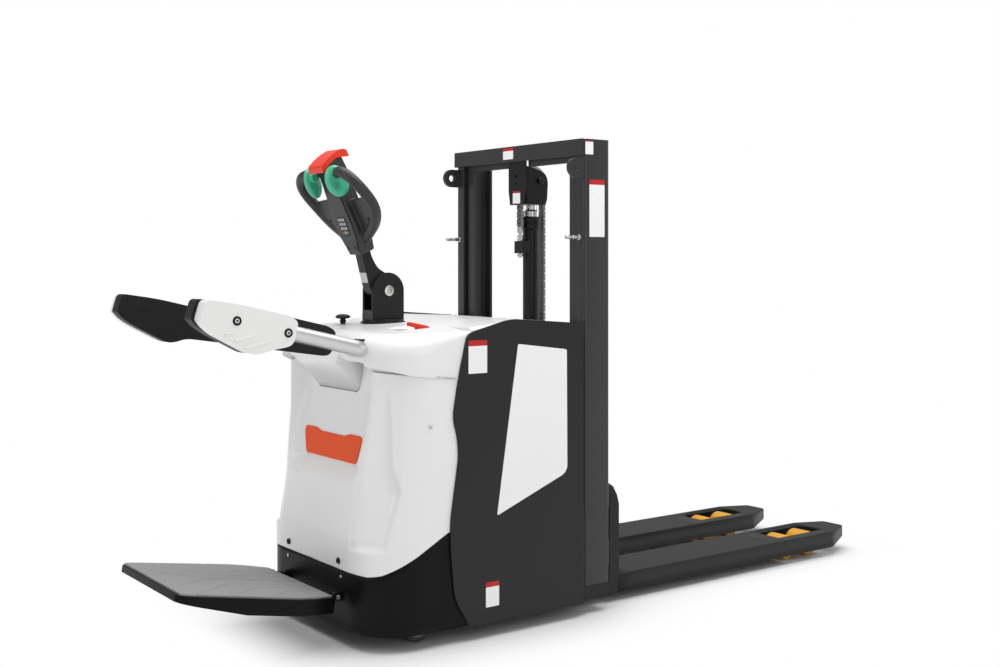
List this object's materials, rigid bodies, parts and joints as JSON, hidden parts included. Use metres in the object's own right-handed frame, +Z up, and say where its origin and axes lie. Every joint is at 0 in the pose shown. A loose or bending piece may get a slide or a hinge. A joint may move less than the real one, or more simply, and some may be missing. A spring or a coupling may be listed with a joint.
{
  "type": "walkie stacker",
  "caption": "Ride-on pallet stacker with tiller, fold-down platform and side arms, two-stage mast and lifting forks over support legs.",
  "frame": {"origin": "on the floor under the middle of the machine's length and width", "axes": "+X towards the fork tips along the length, +Y to the operator's left facing the forks, +Z up"},
  "size_m": [2.5696, 0.706, 1.435],
  "materials": {
    "black_steel": "fine-textured black powder coat",
    "black_skirt": "fine-textured black powder coat",
    "white_cover": "moulded white cover with a soft gloss",
    "white_hood": "glossy white",
    "orange_badge": "satin orange",
    "zinc_screw": "bright zinc",
    "battery_case": "moulded battery case",
    "controller_case": "cast, matt",
    "bearing_steel": "ground",
    "bright_rod": "hard chrome",
    "chain_steel": "oiled",
    "drive_tyre": "polyurethane tread",
    "arm_black": "satin black",
    "head_plastic": "textured moulding",
    "keypad_film": "membrane",
    "green_lever": "moulded",
    "red_switch": "moulded",
    "black_knob": "moulded",
    "red_handle": "moulded",
    "mat_rubber": "ribbed grey rubber",
    "arm_tube": "satin anodised tube",
    "pad_white": "moulded white pad",
    "pad_black": "moulded black pad",
    "caster_steel": "zinc",
    "caster_rubber": "polyurethane",
    "yellow_wheel": "yellow polyurethane"
  },
  "bodies": {
    "chassis": {"chassis_frame": "black_steel", "base_skirt": "black_skirt", "side_panels": "black_steel", "front_cover": "white_cover", "top_cover": "white_cover", "badge_plate": "orange_badge", "cover_screws": "zinc_screw", "battery_pack": "battery_case", "motor_controller": "controller_case", "hydraulic_unit": "controller_case", "outer_mast": "black_steel", "mast_lugs": "black_steel", "lift_cylinder": "black_steel", "chain_anchor": "black_steel", "rear_chain": "chain_steel", "support_legs": "black_steel", "platform_brackets": "black_steel", "arm_sockets": "black_steel", "steering_ring_outer": "bearing_steel"},
    "hood": {"battery_hood": "white_hood"},
    "drive_unit": {"steering_ring_inner": "bearing_steel", "drive_gearbox": "controller_case", "drive_motor": "controller_case", "steering_column": "bearing_steel", "tiller_base": "black_steel", "tilt_pin": "zinc_screw"},
    "drive_wheel": {"drive_wheel_hub": "controller_case", "drive_wheel_tyre": "drive_tyre"},
    "tiller": {"tiller_arm": "arm_black", "tiller_head": "head_plastic", "keypad": "keypad_film"},
    "levers": {"thumb_levers": "green_lever"},
    "belly_cap": {"belly_switch": "red_switch"},
    "knob": {"stop_knob": "black_knob"},
    "red_handle": {"disconnect_handle": "red_handle"},
    "platform": {"platform_deck": "black_steel", "platform_mat": "mat_rubber"},
    "arm_left": {"arm_tube_left": "arm_tube", "arm_pad_left": "pad_white", "arm_backing_left": "pad_black"},
    "arm_right": {"arm_tube_right": "arm_tube", "arm_pad_right": "pad_white", "arm_backing_right": "pad_black"},
    "inner_stage": {"inner_mast": "black_steel", "piston_rod": "bright_rod", "chain_bracket": "black_steel", "front_chain": "chain_steel"},
    "chain_sheave": {"chain_wheel": "chain_steel"},
    "carriage": {"carriage_frame": "black_steel", "forks": "black_steel"},
    "caster_swivel_left": {"caster_yoke_left": "caster_steel"},
    "caster_swivel_right": {"caster_yoke_right": "caster_steel"},
    "caster_roller_left": {"caster_wheel_left": "caster_rubber"},
    "caster_roller_right": {"caster_wheel_right": "caster_rubber"},
    "bogie_frame_left": {"bogie_left": "black_steel"},
    "bogie_frame_right": {"bogie_right": "black_steel"},
    "load_roller_left_rear": {"load_wheel_left_rear": "yellow_wheel"},
    "load_roller_left_front": {"load_wheel_left_front": "yellow_wheel"},
    "load_roller_right_rear": {"load_wheel_right_rear": "yellow_wheel"},
    "load_roller_right_front": {"load_wheel_right_front": "yellow_wheel"}
  },
  "joints": [
    {"name": "platform_fold", "type": "hinge", "parent": "chassis", "child": "platform", "pos_m": [-0.80223, 0, 0.13609], "axis": [0, 1, 0], "range_deg": [-8, 75]},
    {"name": "arm_left_fold", "type": "hinge", "parent": "chassis", "child": "arm_left", "pos_m": [-0.78221, 0, 0.826], "axis": [0, -1, 0], "range_deg": [0, 85]},
    {"name": "arm_right_fold", "type": "hinge", "parent": "chassis", "child": "arm_right", "pos_m": [-0.78221, 0, 0.826], "axis": [0, -1, 0], "range_deg": [0, 85]},
    {"name": "hood_open", "type": "hinge", "parent": "chassis", "child": "hood", "pos_m": [-0.07921, 0, 0.88], "axis": [0, 1, 0], "range_deg": [0, 70]},
    {"name": "steer", "type": "hinge", "parent": "chassis", "child": "drive_unit", "pos_m": [-0.55721, 0, 0.115], "axis": [0, 0, 1], "range_deg": [-90, 90]},
    {"name": "drive_wheel_spin", "type": "hinge", "parent": "drive_unit", "child": "drive_wheel", "pos_m": [-0.55721, 0, 0.115], "axis": [0, 1, 0], "continuous": true},
    {"name": "tiller_tilt", "type": "hinge", "parent": "drive_unit", "child": "tiller", "pos_m": [-0.55721, 0, 0.978], "axis": [0, -1, 0], "range_deg": [0, 60], "stiffness_Nm_per_rad": 14, "springref_deg": -68.75},
    {"name": "thumb_lever_turn", "type": "hinge", "parent": "tiller", "child": "levers", "pos_m": [-0.76087, 0, 1.30728], "axis": [0, 1, 0], "range_deg": [-18, 18], "stiffness_Nm_per_rad": 0.6},
    {"name": "belly_switch_press", "type": "slide", "parent": "tiller", "child": "belly_cap", "axis": [0.3907, 0, -0.9205], "range_m": [0, 0.006], "stiffness_N_per_m": 600, "springref_m": -0.004},
    {"name": "stop_knob_press", "type": "slide", "parent": "chassis", "child": "knob", "axis": [0, 0, -1], "range_m": [0, 0.005], "stiffness_N_per_m": 900, "springref_m": -0.003},
    {"name": "disconnect_pull", "type": "slide", "parent": "chassis", "child": "red_handle", "axis": [0, 0, 1], "range_m": [0, 0.03]},
    {"name": "inner_mast_lift", "type": "slide", "parent": "chassis", "child": "inner_stage", "axis": [0, 0, 1], "range_m": [0, 0.85], "deforming": ["rear_chain"]},
    {"name": "carriage_lift", "type": "slide", "parent": "inner_stage", "child": "carriage", "axis": [0, 0, 1], "range_m": [0, 0.85], "deforming": ["front_chain"]},
    {"name": "chain_wheel_spin", "type": "hinge", "parent": "inner_stage", "child": "chain_sheave", "pos_m": [0.00279, 0, 1.324], "axis": [0, 1, 0], "continuous": true},
    {"name": "caster_swivel_left", "type": "hinge", "parent": "chassis", "child": "caster_swivel_left", "pos_m": [-0.56721, 0.245, 0.2], "axis": [0, 0, 1], "continuous": true},
    {"name": "caster_roll_left", "type": "hinge", "parent": "caster_swivel_left", "child": "caster_roller_left", "pos_m": [-0.60121, 0.245, 0.05], "axis": [0, 1, 0], "continuous": true},
    {"name": "caster_swivel_right", "type": "hinge", "parent": "chassis", "child": "caster_swivel_right", "pos_m": [-0.56721, -0.245, 0.2], "axis": [0, 0, 1], "continuous": true},
    {"name": "caster_roll_right", "type": "hinge", "parent": "caster_swivel_right", "child": "caster_roller_right", "pos_m": [-0.60121, -0.245, 0.05], "axis": [0, 1, 0], "continuous": true},
    {"name": "bogie_rock_left", "type": "hinge", "parent": "chassis", "child": "bogie_frame_left", "pos_m": [1.03979, 0.1905, 0.042], "axis": [0, 1, 0], "range_deg": [-6, 6]},
    {"name": "load_roll_left_rear", "type": "hinge", "parent": "bogie_frame_left", "child": "load_roller_left_rear", "pos_m": [0.98179, 0.1905, 0.042], "axis": [0, 1, 0], "continuous": true},
    {"name": "load_roll_left_front", "type": "hinge", "parent": "bogie_frame_left", "child": "load_roller_left_front", "pos_m": [1.09779, 0.1905, 0.042], "axis": [0, 1, 0], "continuous": true},
    {"name": "bogie_rock_right", "type": "hinge", "parent": "chassis", "child": "bogie_frame_right", "pos_m": [1.03979, -0.1905, 0.042], "axis": [0, 1, 0], "range_deg": [-6, 6]},
    {"name": "load_roll_right_rear", "type": "hinge", "parent": "bogie_frame_right", "child": "load_roller_right_rear", "pos_m": [0.98179, -0.1905, 0.042], "axis": [0, 1, 0], "continuous": true},
    {"name": "load_roll_right_front", "type": "hinge", "parent": "bogie_frame_right", "child": "load_roller_right_front", "pos_m": [1.09779, -0.1905, 0.042], "axis": [0, 1, 0], "continuous": true}
  ],
  "couplings": [
    {"joint": "carriage_lift", "follows": "inner_mast_lift", "ratio": 1},
    {"joint": "chain_wheel_spin", "follows": "inner_mast_lift", "rad_per_m": 22.222}
  ]
}
